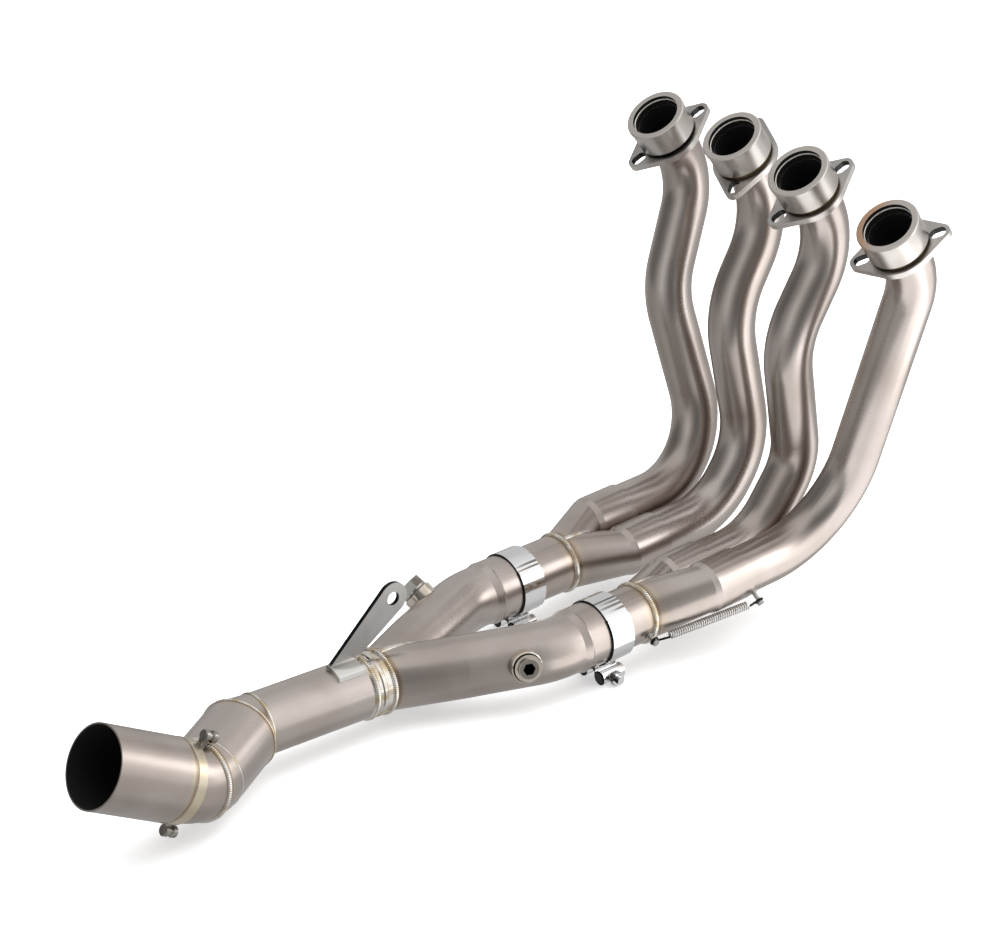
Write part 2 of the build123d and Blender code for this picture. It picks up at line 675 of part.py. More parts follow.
# Spring lugs: waisted barrels on short feet, above and below the sleeve
for place, lug_turn in (("top", 85.0), ("bottom", -89.0)):
    side_x = stub_dir.cross(up).normalized()
    top_y = side_x.cross(stub_dir).normalized()
    side_x = side_x if side_x.X > 0 else -side_x
    lug_out = (side_x * cos(radians(lug_turn)) + top_y * sin(radians(lug_turn))).normalized()
    lug_rise = lug_stand + lug_radius
    lug_start = sleeve_tip - stub_dir * lug_setback + lug_out * (elbow_od / 2 + lug_rise)
    with BuildPart() as outlet_lug:
        with BuildSketch(lengthwise(lug_start, stub_dir)):
            with BuildLine():
                Polyline(
                    (0, 0),
                    (lug_radius - 0.6, 0),
                    (lug_radius, 0.6),
                    (lug_radius, lug_length * 0.32),
                    (lug_radius - lug_waist, lug_length * 0.40),
                    (lug_radius - lug_waist, lug_length * 0.60),
                    (lug_radius, lug_length * 0.68),
                    (lug_radius, lug_length - 0.6),
                    (lug_radius - 0.6, lug_length),
                    (0, lug_length),
                    close=True,
                )
            make_face()
        revolve(axis=Axis(lug_start, stub_dir))
        with BuildSketch(Plane(origin=lug_start + stub_dir * 7.2, x_dir=lug_out, z_dir=stub_dir)):
            with Locations((-lug_rise / 2 - 1.5, 0)):
                Rectangle(lug_rise + 3, 4.0)
        extrude(amount=lug_setback - 8.2)
        with BuildSketch(Plane(origin=elbow_start, z_dir=elbow_dir)):
            Circle(elbow_od / 2 + saddle_gap)
        sweep(path=elbow_wire, mode=Mode.SUBTRACT)
    outlet_lug.part.label = f"outlet_lug_{place}"
    export_step(outlet_lug.part, f"parts/outlet_lug_{place}.step")
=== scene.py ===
"""Looks of a four-into-two-into-one motorcycle exhaust header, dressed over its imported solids."""

import json
import math

import bpy
import numpy as np
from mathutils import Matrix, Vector


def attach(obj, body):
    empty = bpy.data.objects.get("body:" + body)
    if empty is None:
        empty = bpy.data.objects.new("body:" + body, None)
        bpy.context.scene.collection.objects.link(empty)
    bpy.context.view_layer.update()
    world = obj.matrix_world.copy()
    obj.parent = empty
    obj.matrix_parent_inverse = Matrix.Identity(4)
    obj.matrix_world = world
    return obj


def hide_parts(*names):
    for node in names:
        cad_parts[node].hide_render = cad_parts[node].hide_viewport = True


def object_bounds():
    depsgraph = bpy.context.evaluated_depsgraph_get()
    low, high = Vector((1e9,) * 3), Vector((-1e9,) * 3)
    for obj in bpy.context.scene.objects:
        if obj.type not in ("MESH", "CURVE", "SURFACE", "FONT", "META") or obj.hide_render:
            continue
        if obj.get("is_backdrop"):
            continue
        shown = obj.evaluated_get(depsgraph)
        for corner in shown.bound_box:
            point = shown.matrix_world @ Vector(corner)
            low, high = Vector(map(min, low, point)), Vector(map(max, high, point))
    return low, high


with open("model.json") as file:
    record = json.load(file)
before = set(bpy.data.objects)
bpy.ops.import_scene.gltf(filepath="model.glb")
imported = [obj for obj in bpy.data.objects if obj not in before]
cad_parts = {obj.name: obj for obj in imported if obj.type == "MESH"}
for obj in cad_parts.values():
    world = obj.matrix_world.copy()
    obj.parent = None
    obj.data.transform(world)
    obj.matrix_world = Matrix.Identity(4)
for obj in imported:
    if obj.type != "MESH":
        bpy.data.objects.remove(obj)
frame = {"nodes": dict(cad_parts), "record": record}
low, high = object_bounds()

# Header pipes
# Four mandrel-bent primary tubes of thin metal, blasted to a satin grey with faint brown clouds.
# Each slips into a collector socket at its lower end, and its upper end is painted black inside, a
# painted shade deep in the bore.
mm = 0.001
cylinders = "1234"
node = frame["nodes"]
mount = {m["name"]: m for m in frame["record"]["mounts"]}


class Flow:
    """A value on its way through a material. Operators add Math nodes, node() adds any other."""

    def __init__(self, tree, socket=None):
        self.tree = tree
        self.socket = socket

    def node(self, kind, settings=None, sockets=None, out=0):
        """Adds a node: its own settings first, then its sockets' values or links."""
        made = self.tree.nodes.new(kind)
        for key, value in (settings or {}).items():
            if key == "stops":
                ramp = made.color_ramp
                while len(ramp.elements) < len(value):
                    ramp.elements.new(0.5)
                for element, (position, colour) in zip(ramp.elements, value):
                    element.position = position
                    element.color = (*colour, 1.0)
            else:
                setattr(made, key, value)
        for key, value in (sockets or {}).items():
            if isinstance(value, Flow):
                self.tree.links.new(value.socket, made.inputs[key])
            else:
                made.inputs[key].default_value = value
        return Flow(self.tree, made.outputs[out])

    def math(self, operation, first, second=0.0):
        """A Math node on two values."""
        return self.node("ShaderNodeMath", {"operation": operation}, {0: first, 1: second})

    def __add__(self, other):
        return self.math("ADD", self, other)

    def __radd__(self, other):
        return self.math("ADD", other, self)

    def __sub__(self, other):
        return self.math("SUBTRACT", self, other)

    def __rsub__(self, other):
        return self.math("SUBTRACT", other, self)

    def __mul__(self, other):
        return self.math("MULTIPLY", self, other)

    def __rmul__(self, other):
        return self.math("MULTIPLY", other, self)

    def __truediv__(self, other):
        return self.math("DIVIDE", self, other)

    def __rtruediv__(self, other):
        return self.math("DIVIDE", other, self)

    def __abs__(self):
        return self.math("ABSOLUTE", self)

    def between(self, start, end):
        """Smooth step: 0 at start, 1 at end."""
        limits = {"Value": self, "From Min": start, "From Max": end}
        return self.node("ShaderNodeMapRange", {"interpolation_type": "SMOOTHSTEP"}, limits)


def new_finish(name):
    """A material with one Principled shader, and the surface's place in the frame as a Flow."""
    material = bpy.data.materials.new(name)
    material.use_nodes = True
    tree = material.node_tree
    tree.nodes.clear()
    out = tree.nodes.new("ShaderNodeOutputMaterial")
    shader = tree.nodes.new("ShaderNodeBsdfPrincipled")
    tree.links.new(shader.outputs[0], out.inputs[0])
    return material, shader, Flow(tree).node("ShaderNodeTexCoord", out="Object")


def feed(shader, **values):
    """Links flows to the shader's sockets and sets plain values on them directly."""
    for key, value in values.items():
        socket = shader.inputs[key.replace("_", " ")]
        if isinstance(value, Flow):
            value.tree.links.new(value.socket, socket)
        else:
            socket.default_value = value


def mixed(factor, first, second):
    """Blend of two colours."""
    colours = {0: factor, 6: first, 7: second}
    return factor.node("ShaderNodeMix", {"data_type": "RGBA"}, colours, out=2)


def noise(place, scale, detail):
    """Soft random patches, from 0 to 1, of about one over the scale in metres."""
    sockets = {"Vector": place, "Scale": scale, "Detail": detail}
    return place.node("ShaderNodeTexNoise", None, sockets)


def clouded(cloud, pale, dull, start=0.3, end=0.7):
    """Colour of a metal in patches: pale where the cloud is thin, dull where it is dense."""
    return mixed(cloud.between(start, end), pale, dull)


def vector_math(operation, first, second=(0, 0, 0), out=0):
    """A Vector Math node on a flow and a second flow, place or axis."""
    sockets = {0: first, 1: second}
    return first.node("ShaderNodeVectorMath", {"operation": operation}, sockets, out)


def along(place, origin, axis):
    """Distance of a surface point along a line, measured from the line's origin."""
    return vector_math("DOT_PRODUCT", vector_math("SUBTRACT", place, origin), axis, "Value")


def away(place, origin, axis):
    """Distance of a surface point from a line: length of its offset crossed with the line."""
    crossed = vector_math("CROSS_PRODUCT", vector_math("SUBTRACT", place, origin), axis)
    return vector_math("LENGTH", crossed, out="Value")


def facing(place):
    """Direction that the surface faces."""
    return place.node("ShaderNodeTexCoord", out="Normal")


def faces_line(place, origin, axis):
    """1 where a surface looks towards a line, as a bore's wall does: its normal against its offset
    square to the line, which is the whole offset less its projection on the line."""
    offset = vector_math("SUBTRACT", place, origin)
    radial = vector_math("SUBTRACT", offset, vector_math("PROJECT", offset, axis))
    return vector_math("DOT_PRODUCT", facing(place), radial, "Value").between(0.0, -2 * mm)


satin_grey = (0.545, 0.487, 0.452, 1)
satin_brown = (0.460, 0.400, 0.360, 1)
straw_gold, straw_share = (0.62, 0.50, 0.35, 1), 0.35
heat_brown, brown_share = (0.30, 0.21, 0.14, 1), 0.65
shade_black = (0.004, 0.004, 0.004, 1)
bore_edge, shade_fade = 0.1 * mm, 15 * mm
grain_depth = 0.05 * mm


def satin_tube(name, tints=(), bore_shade=None):
    """Blasted tube: cloudy grey-brown, finely grained. Each tint is (point, axis, reach) of a weld
    that is brown beside the bead, then straw, and fades over that reach. Bore shade is (point,
    axis, radius, depth) of a bore, measured back from its mouth. There the inner wall is painted
    black, a painted shade."""
    material, shader, place = new_finish(name)
    cloud = noise(place, 16.0, 3.0)
    grain = noise(place, 1100.0, 2.0)
    colour = clouded(cloud, satin_grey, satin_brown, start=0.35)
    for point, axis, reach in tints:
        gone = abs(along(place, point, axis)) / reach
        straw = straw_share - straw_share * gone.between(0.4, 1.0)
        brown = brown_share - brown_share * gone.between(0.25, 0.5)
        colour = mixed(brown, mixed(straw, colour, straw_gold), heat_brown)
    rough = 0.21 + cloud * 0.12 + grain * 0.04
    metal = 1.0
    if bore_shade:
        point, axis, radius, depth = bore_shade
        inside = away(place, point, axis).between(radius + bore_edge, radius - bore_edge)
        inside = inside * faces_line(place, point, axis)
        inside = inside * along(place, point, axis).between(-depth - shade_fade, -depth)
        # Painted shade: the bore's inner wall, facing its axis, is painted black, rough and not
        # metal.
        colour = mixed(inside, colour, shade_black)
        rough = rough + inside * 0.5
        metal = 1 - inside
    relief = {"Strength": 0.12, "Distance": grain_depth, "Height": grain}
    bump = place.node("ShaderNodeBump", None, relief)
    feed(shader, Base_Color=colour, Roughness=rough, Metallic=metal, Normal=bump)
    return material


def dress(name, material):
    """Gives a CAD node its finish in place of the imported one."""
    data = node[name].data
    data.materials.clear()
    data.materials.append(material)


def mount_line(name):
    """Place and axis of one of the record's mounts."""
    return np.array(mount[name]["pos_m"]), np.array(mount[name]["axis"])


pipe_radius, pipe_wall = 19.05 * mm, 1.2 * mm
pipe_shade_depth = 40 * mm
for n in cylinders:
    port, outward = mount_line(f"port_{n}")
    bore = (port, outward, pipe_radius - pipe_wall / 2, pipe_shade_depth)
    dress(f"header_pipe_{n}", satin_tube(f"satin_pipe_{n}", bore_shade=bore))

# Port collars
# Turned rings pressed on the upper pipe ends, with a pale faced rim that seals in the cylinder
# head and a hub behind for the flange. Heat has left three hubs gold and one ring copper on one
# side. A painted shadow blackens the gap behind the rim and the whole hub of the first collar,
# and the bores are painted black as shade. Depths run from the port's place, into the bore below
# zero.
collar_pale, collar_dull = (0.66, 0.63, 0.60, 1), (0.56, 0.52, 0.48, 1)
rim_warm, rim_edge = (0.80, 0.75, 0.69, 1), (1.4 * mm, 2.0 * mm)
copper_tint, copper_share = (0.74, 0.47, 0.30, 1), 0.9
copper_side, copper_reach = (-0.68, -0.58, 0.45), 14 * mm
gap_shadow_edge = (-19.9 * mm, -20.3 * mm)
hub_gold, hub_edge = (0.86, 0.62, 0.30, 1), (-20.6 * mm, -20.9 * mm)
collar_bore = (19.5 * mm, 19.4 * mm)
lathe_lines = 4000
for n in cylinders:
    port, outward = mount_line(f"port_{n}")
    material, shader, place = new_finish(f"turned_collar_{n}")
    depth = along(place, port, outward)
    lathe = place.node("ShaderNodeTexNoise", {"noise_dimensions": "1D"},
                       {"W": depth * lathe_lines, "Detail": 1.0})
    rim = depth.between(*rim_edge)
    colour = clouded(noise(place, 40.0, 2.0), collar_pale, collar_dull)
    colour = mixed(rim, colour, rim_warm)
    if n == "4":
        burnt = along(place, port, copper_side).between(0.0, copper_reach) * copper_share
        colour = mixed(burnt, colour, copper_tint)
    # Painted shadow: black in the gap behind the rim, and over the first collar's whole hub.
    colour = mixed(depth.between(*gap_shadow_edge), colour, shade_black)
    if n != "1":
        colour = mixed(depth.between(*hub_edge), colour, hub_gold)
    # Painted shade: the collar's bore is painted black.
    inside = away(place, port, outward).between(*collar_bore)
    colour = mixed(inside, colour, shade_black)
    rough = 0.24 + lathe * 0.12 + rim * 0.14 + inside * 0.4
    feed(shader, Base_Color=colour, Roughness=rough, Metallic=1 - inside)
    dress(f"port_collar_{n}", material)

# Port flanges
# Loose two-eared plates, laser-cut and satin-finished, that the cylinder head's studs pull up
# against the collars. They swivel on the collars' hubs. The slots' walls are painted dark, a
# painted shade.
plate_pale, plate_dull = (0.74, 0.71, 0.68, 1), (0.64, 0.60, 0.57, 1)
slot_shade_dark = (0.03, 0.03, 0.03, 1)
ear_angles = {"1": 72.0, "2": 113.0, "3": 71.0, "4": 45.0}
stud_reach, slot_edge = 30.0 * mm, (8.5 * mm, 8.0 * mm)
for n in cylinders:
    material, shader, place = new_finish(f"cut_plate_{n}")
    grain = noise(place, 1300.0, 1.0)
    colour = clouded(noise(place, 60.0, 3.0), plate_pale, plate_dull)
    middle, outward = mount_line(f"flange_{n}")
    angle = math.radians(ear_angles[n])
    ear = np.array([math.cos(angle), 0, 0]) + math.sin(angle) * np.cross(outward, (1, 0, 0))
    for sign in (1, -1):
        stud = middle + sign * stud_reach * ear
        # Painted shade: the walls of each stud slot are painted near black.
        near = away(place, stud, outward).between(*slot_edge)
        colour = mixed(near * faces_line(place, stud, outward), colour, slot_shade_dark)
    feed(shader, Base_Color=colour, Roughness=0.26 + grain * 0.1, Metallic=1.0)
    dress(f"port_flange_{n}", material)

# Merge collectors
# Pressed branch halves and round necks of the same blasted metal. A rippled weld bead closes the
# seam between the halves, and another runs round the neck, where the heat has left gold tints.
# Each pair has its side, the place of its sockets' mouths and the place of its neck weld.
pair_x, pair_z, pair_pitch, pair_roll = 50.8 * mm, -49.0 * mm, 42.3 * mm, math.radians(13.7)
pairs = {"12": (-1, 289.0 * mm, 207.0 * mm), "34": (1, 280.0 * mm, 197.0 * mm)}
socket_reach, run_fall = 38.0 * mm, 0.05
run_dir = np.array([0, -1, -run_fall]) / math.hypot(1, run_fall)
neck_radius, neck_fall = 23.0 * mm, 0.03
neck_dir = np.array([0, -1, -neck_fall]) / math.hypot(1, neck_fall)
neck_z, clamp_y = -59.1 * mm, 159.0 * mm
neck_bead_back, neck_bead_size, neck_tint = 2.0 * mm, (5.6 * mm, 2.0 * mm), 12 * mm
branch_crotch, branch_seam = 0.085, (4.0 * mm, 1.3 * mm, 1.5 * mm)
weld_silver, weld_straw = (0.80, 0.77, 0.72, 1), (0.62, 0.49, 0.32, 1)


def neck_point(side, y):
    """Point on a neck's axis, which falls gently to the rear."""
    return np.array([side * pair_x, y, neck_z + neck_fall * (y - clamp_y)])


def unit(vectors):
    """Vectors scaled to length one."""
    return vectors / np.linalg.norm(vectors, axis=-1, keepdims=True)


def add_object(name, data):
    """A new object in the scene that shows a mesh, a lamp or a camera."""
    made = bpy.data.objects.new(name, data)
    bpy.context.scene.collection.objects.link(made)
    return made


def skin(name, patches, finish, body="header"):
    """Mesh over grids of points. Each patch is (grid, ring): a grid closes round its second way,
    and round its first too where it is a ring. Faces point out of the volume a grid encloses."""
    points, faces, start = [], [], 0
    for grid, ring in patches:
        nu, nv, _ = grid.shape
        row = np.arange(nu if ring else nu - 1)[:, None] * nv
        ahead = (row + nv) % (nu * nv)
        col = np.arange(nv)
        beside = (col + 1) % nv
        quads = np.stack([row + col, ahead + col, ahead + beside, row + beside], -1)
        quads = quads.reshape(-1, 4)
        flat = grid.reshape(-1, 3)
        corner = (flat - flat.mean(0))[quads]
        volume = np.sum(corner[:, 0] * np.cross(corner[:, 1] - corner[:, 3], corner[:, 2]))
        faces.append((quads if volume > 0 else quads[:, ::-1]) + start)
        points.append(flat)
        start += len(flat)
    points, faces = np.concatenate(points), np.concatenate(faces)
    mesh = bpy.data.meshes.new(name)
    mesh.vertices.add(len(points))
    mesh.vertices.foreach_set("co", points.astype(np.float32).ravel())
    mesh.loops.add(faces.size)
    mesh.loops.foreach_set("vertex_index", faces.astype(np.int32).ravel())
    mesh.polygons.add(len(faces))
    mesh.polygons.foreach_set("loop_start", np.arange(0, faces.size, 4, dtype=np.int32))
    mesh.polygons.foreach_set("use_smooth", np.ones(len(faces), dtype=bool))
    mesh.update(calc_edges=True)
    mesh.materials.append(finish)
    made = add_object(name, mesh)
    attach(made, body)
    return made


def bead(path, across, out, width, height, pitch, ring):
    """Weld bead: an oval section, width across the path and height off it, is carried along. A
    wave of one puddle per pitch raises it, and the wave lags at the bead's edges, as overlapping
    scales do. An open bead tapers to a point over its last few steps."""
    sides, lag, ripple, taper_steps = 10, 0.35, 0.42, 3.0
    step = np.linalg.norm(np.roll(path, -1, 0) - path, axis=1)
    run = np.concatenate([[0], np.cumsum(step)])
    total = run[-1] if ring else run[-2]
    puddles = max(1, round(total / pitch))
    turn = np.linspace(0, 2 * math.pi, sides, endpoint=False)
    phase = run[:-1, None] / total * puddles - lag * np.cos(turn) ** 2
    scale = 1 - ripple * np.mod(phase, 1.0) ** 2
    if not ring:
        count = np.arange(len(path))
        taper = np.minimum(1, np.minimum(count, count[::-1]) / taper_steps)
        scale = scale * np.sqrt(taper)[:, None]
    sideways = across[:, None] * (width / 2 * np.cos(turn) * (0.5 + 0.5 * scale))[..., None]
    upward = out[:, None] * (height * np.sin(turn) * scale)[..., None]
    return path[:, None] + sideways + upward


def ring_bead(centre, axis, radius, width, height, pitch=1.6 * mm):
    """Weld bead round a tube: a circle about the axis, with the bead's section standing off it."""
    points_per_puddle = 6
    axis = unit(np.array(axis, float))
    side = unit(np.cross(axis, (0, 0, 1)) if abs(axis[2]) < 0.9 else np.cross(axis, (1, 0, 0)))
    count = int(2 * math.pi * radius / pitch) * points_per_puddle
    turn = np.linspace(0, 2 * math.pi, count, endpoint=False)[:, None]
    out = np.cos(turn) * side + np.sin(turn) * np.cross(axis, side)
    path = np.array(centre) + out * radius
    return bead(path, np.broadcast_to(axis, out.shape), out, width, height, pitch, True)


def seam_bead(start, end, half, radii, upward, crotch, section):
    """Weld bead on the seam of two tubes that close in on one plane. From start to end their
    centres go from half on each side to none, and their radius from the first to the second, so
    the seam stands off the line between by the root of the radius squared less the gap squared.
    It runs below that line from the end to the crotch, a share of the way, and back above it."""
    steps = 90
    share = np.linspace(1.0, crotch, steps)
    share = np.concatenate([share, share[-2::-1]])
    gap = np.linalg.norm(half) * (1 - share)
    radius = radii[0] + (radii[1] - radii[0]) * share
    rise = np.sqrt(np.maximum(radius ** 2 - gap ** 2, 0))
    rise[:steps] *= -1
    seam = start + (end - start) * share[:, None] + upward * rise[:, None]
    forward = unit(np.gradient(seam, axis=0))
    across = unit(np.broadcast_to(half, seam.shape))
    return bead(seam, across, unit(np.cross(forward, across)), *section, False)


def weld_finish(name, tint, metal=1.0):
    """Rippled weld metal: bright silver to a heat colour, by cloudy patches."""
    material, shader, place = new_finish(name)
    cloud = noise(place, 120.0, 3.0)
    colour = clouded(cloud, weld_silver, tint, start=0.40)
    feed(shader, Base_Color=colour, Roughness=0.10 + cloud * 0.14, Metallic=metal)
    return material


straw_weld = weld_finish("straw_weld", weld_straw)
for pair, (side, mouth_y, weld_y) in pairs.items():
    weld = neck_point(side, weld_y)
    bead_place = weld + neck_dir * neck_bead_back
    finish = satin_tube(f"satin_collector_{pair}", [(bead_place, neck_dir, neck_tint)])
    dress(f"collector_neck_{pair}", finish)
    for n in pair:
        dress(f"collector_branch_{n}", finish)
    neck_ring = ring_bead(bead_place, neck_dir, neck_radius, *neck_bead_size)
    half = np.array([side * math.cos(pair_roll), 0, math.sin(pair_roll)]) * pair_pitch / 2
    middle = np.array([side * pair_x, mouth_y, pair_z]) + run_dir * socket_reach
    upward = unit(np.cross(half, run_dir)) * side
    seam = seam_bead(middle, weld, half, (pipe_radius, neck_radius), upward, branch_crotch,
                     branch_seam)
    skin(f"collector_weld_{pair}", [(neck_ring, True), (seam, False)], straw_weld)

# Bore welds
# A fine weld just inside each collar holds the pipe's end. It is laid in short dabs of bright
# metal, so it shows as a dashed line in the bore, which is painted black as shade.
bore_weld_depth, bore_weld_radius = 1.6 * mm, 19.35 * mm
bore_weld_size, bore_weld_pitch = (1.5 * mm, 0.5 * mm), 2.4 * mm
silver_weld = weld_finish("silver_weld", (0.72, 0.66, 0.56, 1), metal=0.3)
for n in cylinders:
    port, outward = mount_line(f"port_{n}")
    ring = ring_bead(port - outward * bore_weld_depth, outward, bore_weld_radius, *bore_weld_size,
                     bore_weld_pitch)
    skin(f"bore_weld_{n}", [(ring, True)], silver_weld)

# Secondary pipes and their junction
# Flared tubes that bend inwards and are cut to meet on the centre plane, with a weld along the
# seam and stacked weld rings on the collar behind it. A ring is (place, width, height).
junction = np.array([0, -14.0, -63.5]) * mm
mid_dir = unit(np.array([0, -1, 0.03]))
merge_start = np.array([25.2, 44.0, -62.1]) * mm
tube_radius = 23.5 * mm
junction_tint = 8 * mm
merge_crotch, merge_seam = 0.068, (6.0 * mm, 1.6 * mm, 1.6 * mm)
junction_rings = ((1.9 * mm, 5.2 * mm, 2.4 * mm), (17.5 * mm, 4.8 * mm, 1.9 * mm))
secondary_tube = satin_tube("satin_secondary", [(junction, mid_dir, junction_tint)])
for name in ("secondary_pipe_12", "secondary_pipe_34", "mid_pipe"):
    dress(name, secondary_tube)
dress("junction_collar", straw_weld)
seam = seam_bead(merge_start * [0, 1, 1], junction, merge_start * [1, 0, 0],
                 (tube_radius, tube_radius), np.array([0, 0, 1]), merge_crotch, merge_seam)
rings = [(ring_bead(junction + mid_dir * back, mid_dir, tube_radius, width, height), True)
         for back, width, height in junction_rings]
skin("junction_weld", [(seam, False), *rings], straw_weld)

# Step cone, outlet elbow and sleeve
# A short mitred cone widens the tube to the elbow, and a welded sleeve ends the bend. Each joint
# has a narrow bead with a straw tint beside it, and a fine scribed line marks the bend's start.
mid_length = 110.0 * mm
cone_start = junction + mid_dir * mid_length
elbow_start = np.array([3.5, -141.0, -60.0]) * mm
elbow_corner = np.array([35.874, -198.262, -63.119]) * mm
elbow_dir = unit(elbow_corner - elbow_start)
stub_dir = mount_line("outlet")[1]
elbow_radius, elbow_bend = 28.5 * mm, 37.0 * mm
sleeve_tip = elbow_corner + stub_dir * 16.0 * mm
bend_angle = math.acos(float(elbow_dir @ stub_dir))
bend_pole = unit(np.cross(elbow_dir, stub_dir))
bend_start = elbow_corner - elbow_dir * elbow_bend * math.tan(bend_angle / 2)
bend_centre = bend_start + np.cross(bend_pole, elbow_dir) * elbow_bend
sleeve_turn, scribe_turn = bend_angle - math.radians(25.0), math.radians(2.0)
elbow_tint = 7 * mm


def bend_ring(turn):
    """Point and direction on the elbow's centreline after it has turned by an angle: the start's
    arm and heading rotated about the bend's pole."""
    arm = bend_start - bend_centre
    c, s = math.cos(turn), math.sin(turn)
    point = bend_centre + arm * c + np.cross(bend_pole, arm) * s
    return point, elbow_dir * c + np.cross(bend_pole, elbow_dir) * s


ring_point, ring_dir = bend_ring(sleeve_turn)
scribe_point, scribe_dir = bend_ring(scribe_turn)
sleeve_bead = ring_point + ring_dir * 1.5 * mm
welds = [(cone_start, mid_dir), (elbow_start, elbow_dir), (ring_point, ring_dir)]
elbow_tube = satin_tube("satin_elbow", [(*weld, elbow_tint) for weld in welds])
for name in ("step_cone", "outlet_elbow", "outlet_sleeve"):
    dress(name, elbow_tube)
elbow_rings = [
    (cone_start, mid_dir, tube_radius, 3.0 * mm, 0.9 * mm),
    (elbow_start, elbow_dir, elbow_radius, 3.0 * mm, 0.8 * mm),
    (sleeve_bead, ring_dir, elbow_radius + 0.2 * mm, 5.0 * mm, 1.7 * mm),
    (scribe_point, scribe_dir, elbow_radius, 1.6 * mm, 0.25 * mm),
]
skin("elbow_weld", [(ring_bead(*ring), True) for ring in elbow_rings], straw_weld)

# Outlet band and stub
# A ring tinted gold by heat, and the thin open tube behind it that takes the silencer. The band's
# bore and the stub's, from its mouth to the elbow, are painted black, a painted shade.
band_pale, band_gold = (0.72, 0.66, 0.53, 1), (0.66, 0.57, 0.42, 1)
band_bore = (28.8 * mm, 28.2 * mm)
stub_mouth, stub_bore, stub_shade_depth = 80 * mm, 29.4 * mm, 120 * mm
stub_weld, stub_tint = 9 * mm, 6 * mm
material, shader, place = new_finish("gold_band")
cloud = noise(place, 50.0, 3.0)
# Painted shade: the band's bore is painted black.
inside = away(place, sleeve_tip, stub_dir).between(*band_bore)
colour = mixed(inside, clouded(cloud, band_pale, band_gold), shade_black)
feed(shader, Base_Color=colour, Roughness=0.22 + cloud * 0.1, Metallic=1 - inside)
dress("outlet_band", material)
# Painted shade: the stub's bore is painted black from its mouth inwards.
bore = (sleeve_tip + stub_dir * stub_mouth, stub_dir, stub_bore, stub_shade_depth)
tint = (sleeve_tip + stub_dir * stub_weld, stub_dir, stub_tint)
dress("outlet_stub", satin_tube("satin_stub", [tint], bore))

# Hanger bracket
# Flat strap with a rounded tip and one bolt hole, welded by a bright curved foot to the mid-pipe.
# Its edges are painted black, a painted shade on the plate's thickness.
strap_pale, strap_dull = (0.40, 0.385, 0.375, 1), (0.35, 0.335, 0.325, 1)
foot_bright, foot_edge = (0.84, 0.82, 0.79, 1), (-34 * mm, -37 * mm)
edge_shade_dark = (0.03, 0.03, 0.03, 1)


def part(vector, axis):
    """One of a vector's three parts, X, Y or Z."""
    return vector.node("ShaderNodeSeparateXYZ", None, {0: vector}, axis)


material, shader, place = new_finish("strap_plate")
foot = part(place, "Z").between(*foot_edge)
# Painted shade: faces square to the plate, its edges, are painted black away from the foot.
edge_shade = abs(part(facing(place), "X")).between(0.8, 0.4) * (1 - foot)
colour = clouded(noise(place, 45.0, 2.0), strap_pale, strap_dull)
colour = mixed(edge_shade, mixed(foot, colour, foot_bright), edge_shade_dark)
feed(shader, Base_Color=colour, Roughness=0.34 - foot * 0.18, Metallic=1.0)
dress("hanger_bracket", material)

# Spring lugs at the outlet
# Small waisted barrels of turned metal, welded above and below the band, for the springs that
# hold the silencer. They are darker than the tube.
lug_pale, lug_dark = (0.42, 0.39, 0.36, 1), (0.25, 0.23, 0.21, 1)
material, shader, place = new_finish("dark_lug")
cloud = noise(place, 150.0, 2.0)
colour = clouded(cloud, lug_pale, lug_dark)
feed(shader, Base_Color=colour, Roughness=0.22 + cloud * 0.1, Metallic=1.0)
for name in ("outlet_lug_top", "outlet_lug_bottom"):
    dress(name, material)

# Sensor bungs and plugs
# Turned threaded bosses welded to the secondaries, closed by a hex-headed plug on pair 12 and a
# socket plug on pair 34. The seat under the plug's flange and the socket are painted black, a
# painted shade.
bung_places = {"12": (80.0 * mm, math.radians(36.0)), "34": (83.0 * mm, math.radians(12.0))}
bung_face = 29.5 * mm
bend_y, merge_side = 108.0 * mm, 2.0 * mm
boss_pale, boss_warm = (0.80, 0.74, 0.66, 1), (0.66, 0.58, 0.48, 1)
hex_grey, socket_grey = (0.60, 0.58, 0.53, 1), (0.34, 0.31, 0.27, 1)
plug_edge, plug_reach = (0.2 * mm, 0.5 * mm), (7.7 * mm, 7.3 * mm)
seat_edge, seat_reach = (0.7 * mm, 0.2 * mm), (11.4 * mm, 10.9 * mm)
socket_edge, socket_width = (4.15 * mm, 4.0 * mm), (5.3 * mm, 5.1 * mm)
for pair, (bung_y, tilt) in bung_places.items():
    side = pairs[pair][0]
    turn = neck_point(side, bend_y)
    lean = unit(junction + np.array([side * merge_side, 0, 0]) - turn)
    flat_out = unit(np.cross(lean, (0, 0, 1)))
    flat_out = flat_out * side * np.sign(flat_out[0])
    bung_out = unit(flat_out * math.cos(tilt) + np.array([0, 0, 1]) * math.sin(tilt))
    bung_out = unit(bung_out - lean * (bung_out @ lean))
    top = turn + lean * (bung_y - bend_y) / lean[1] + bung_out * bung_face
    material, shader, place = new_finish(f"turned_boss_{pair}")
    cloud = noise(place, 150.0, 2.0)
    rise = along(place, top, bung_out)
    reach = away(place, top, bung_out)
    plug, plug_grey = rise.between(*plug_edge), hex_grey
    # Painted shade: a black ring in the seat under the plug's flange, and the socket on pair 34.
    seat_and_socket_shade = abs(rise).between(*seat_edge) * reach.between(*seat_reach)
    if pair == "34":
        plug, plug_grey = plug * reach.between(*plug_reach), socket_grey
        seat_and_socket_shade = seat_and_socket_shade + rise.between(*socket_edge) * reach.between(*socket_width)
    colour = mixed(plug, clouded(cloud, boss_pale, boss_warm), plug_grey)
    colour = mixed(seat_and_socket_shade, colour, shade_black)
    rough = 0.06 + cloud * 0.10 + seat_and_socket_shade * 0.4
    feed(shader, Base_Color=colour, Roughness=rough, Metallic=1.0)
    dress(f"sensor_bung_{pair}", material)
    dress(f"sensor_plug_{pair}", material)

